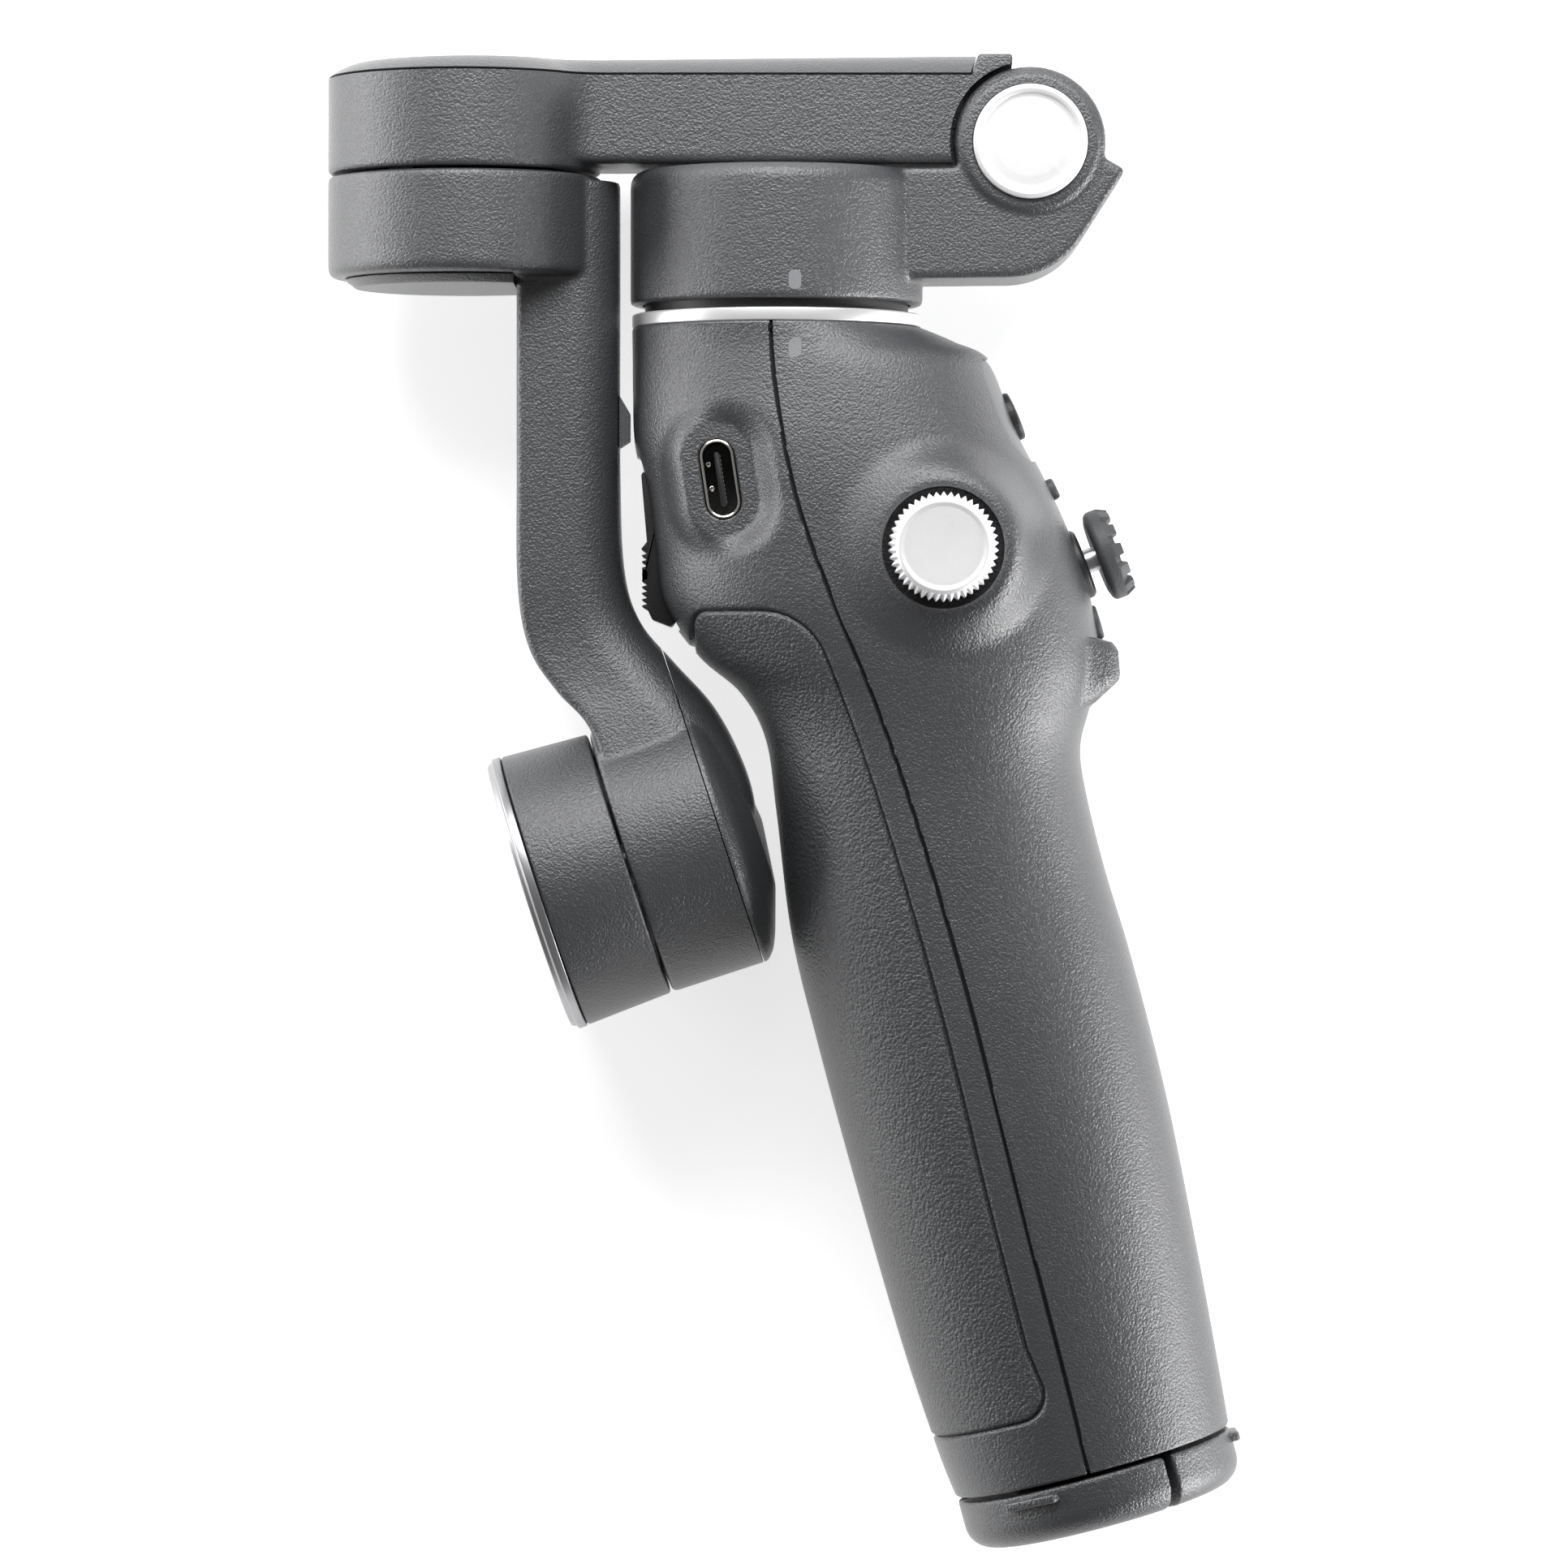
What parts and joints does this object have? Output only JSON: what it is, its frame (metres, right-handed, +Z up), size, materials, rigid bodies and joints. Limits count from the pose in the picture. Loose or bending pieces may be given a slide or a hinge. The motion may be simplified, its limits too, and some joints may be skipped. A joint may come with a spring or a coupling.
{
  "type": "camera gimbal",
  "caption": "Folded three-axis phone gimbal with a leaning grip, side wheel, joystick, trigger, folding arm and a pull-out tripod base.",
  "frame": {"origin": "middle of the folded outline on the surface it lies on", "axes": "+Y up the pan axis from the grip's base towards the folding arm, +X from the trigger's side towards the joystick's side, +Z up out of the side that carries the wheel"},
  "size_m": [0.1102, 0.1798, 0.0459],
  "materials": {
    "shell": "fine leather-like moulded grain, soft sheen",
    "cover": "fine moulded grain, soft sheen",
    "grip": "coarser pebble grain, matte",
    "bright_metal": "satin turned aluminium",
    "hinge_metal": "bead-blasted aluminium with a bright rim",
    "steel": "plain machined steel",
    "port_metal": "bright stamped steel",
    "black_plastic": "plain moulded black",
    "dark_plastic": "fine grain, matte",
    "panel": "smooth satin panel",
    "mark": "printed light grey mark",
    "board": "green circuit board",
    "cell": "blue sleeved cell pack"
  },
  "bodies": {
    "handle": {"front_shell": "shell", "rear_shell": "shell", "grip_pad": "grip", "neck_ring": "bright_metal", "status_panel": "panel", "usb_shell": "port_metal", "usb_tongue": "black_plastic", "main_board": "board", "battery": "cell", "rod_sleeve": "steel", "rod_stage_1": "steel", "rod_stage_2": "steel", "rod_stage_3": "steel", "rod_head": "steel", "pan_stator": "black_plastic", "joystick_bezel": "black_plastic", "wheel_encoder": "black_plastic", "handle_mark": "mark", "tripod_well": "dark_plastic", "trigger_pin": "steel"},
    "mode_button": {"mode_button": "black_plastic"},
    "record_button": {"record_button": "dark_plastic"},
    "switch_button": {"switch_button": "dark_plastic"},
    "joystick_ring": {"joystick_ring": "steel"},
    "joystick": {"joystick_stem": "steel", "joystick_cap": "dark_plastic"},
    "wheel_shaft": {"wheel_shaft": "steel"},
    "side_wheel": {"side_wheel": "bright_metal"},
    "trigger": {"trigger": "black_plastic"},
    "tripod": {"tripod_hub": "steel", "tripod_spindle": "steel", "tripod_leg_1": "dark_plastic", "tripod_leg_2": "dark_plastic", "tripod_leg_3": "dark_plastic", "tripod_foot_1": "shell", "tripod_foot_2": "shell", "tripod_foot_3": "shell"},
    "pan": {"pan_housing": "shell", "pan_rotor": "steel", "pan_arm": "shell", "pan_mark": "mark", "hinge_pin": "steel", "hinge_cap_near": "hinge_metal", "hinge_cap_far": "hinge_metal"},
    "roll_arm": {"roll_arm": "shell", "arm_cover": "cover", "roll_stator": "black_plastic"},
    "tilt_arm": {"tilt_arm": "shell", "roll_rotor": "steel", "roll_cap": "cover", "tilt_cover": "cover", "tilt_stator": "black_plastic", "arm_stop": "dark_plastic"},
    "clamp": {"clamp_housing": "shell", "tilt_rotor": "steel", "clamp_ring": "bright_metal", "clamp_pad": "black_plastic", "clamp_magnets": "steel"}
  },
  "joints": [
    {"name": "pan_turn", "type": "hinge", "parent": "handle", "child": "pan", "pos_m": [-0.00092, 0.07027, 0.01994], "axis": [0, 1, 0], "range_deg": [-18, 18]},
    {"name": "arm_fold", "type": "hinge", "parent": "pan", "child": "roll_arm", "pos_m": [0.02948, 0.07927, 0.01994], "axis": [0, 0, -1], "range_deg": [0, 114]},
    {"name": "roll_turn", "type": "hinge", "parent": "roll_arm", "child": "tilt_arm", "pos_m": [-0.03862, 0.07027, 0.01994], "axis": [0, 1, 0], "range_deg": [-120, 212]},
    {"name": "tilt_turn", "type": "hinge", "parent": "tilt_arm", "child": "clamp", "pos_m": [-0.01862, -0.00723, 0.01994], "axis": [0.9505, 0.3107, 0], "range_deg": [-101, 78]},
    {"name": "tripod_slide", "type": "slide", "parent": "handle", "child": "tripod", "axis": [0.2656, -0.9641, 0], "range_m": [0, 0.042]},
    {"name": "wheel_press", "type": "slide", "parent": "handle", "child": "wheel_shaft", "axis": [0, 0, -1], "range_m": [0, 0.0004], "stiffness_N_per_m": 600, "springref_m": -0.0008},
    {"name": "wheel_spin", "type": "hinge", "parent": "wheel_shaft", "child": "side_wheel", "pos_m": [0.01878, 0.03027, 0.02294], "axis": [0, 0, 1], "continuous": true},
    {"name": "joystick_up_down", "type": "hinge", "parent": "handle", "child": "joystick_ring", "pos_m": [0.03081, 0.02698, 0.01994], "axis": [0, 0, 1], "range_deg": [-12, 12], "stiffness_Nm_per_rad": 0.02},
    {"name": "joystick_left_right", "type": "hinge", "parent": "joystick_ring", "child": "joystick", "pos_m": [0.03081, 0.02698, 0.01994], "axis": [-0.3584, 0.9336, 0], "range_deg": [-12, 12], "stiffness_Nm_per_rad": 0.02},
    {"name": "mode_button_press", "type": "slide", "parent": "handle", "child": "mode_button", "axis": [-0.9205, -0.3907, 0], "range_m": [0, 0.0005], "stiffness_N_per_m": 400, "springref_m": -0.0008},
    {"name": "record_button_press", "type": "slide", "parent": "handle", "child": "record_button", "axis": [-0.8988, -0.4384, 0], "range_m": [0, 0.0005], "stiffness_N_per_m": 400, "springref_m": -0.0008},
    {"name": "switch_button_press", "type": "slide", "parent": "handle", "child": "switch_button", "axis": [-0.9563, -0.2924, 0], "range_m": [0, 0.0005], "stiffness_N_per_m": 400, "springref_m": -0.0008},
    {"name": "trigger_pull", "type": "hinge", "parent": "handle", "child": "trigger", "pos_m": [-0.01532, 0.03947, 0.01994], "axis": [0, 0, 1], "range_deg": [0, 5], "stiffness_Nm_per_rad": 0.5, "springref_deg": -5.73}
  ]
}
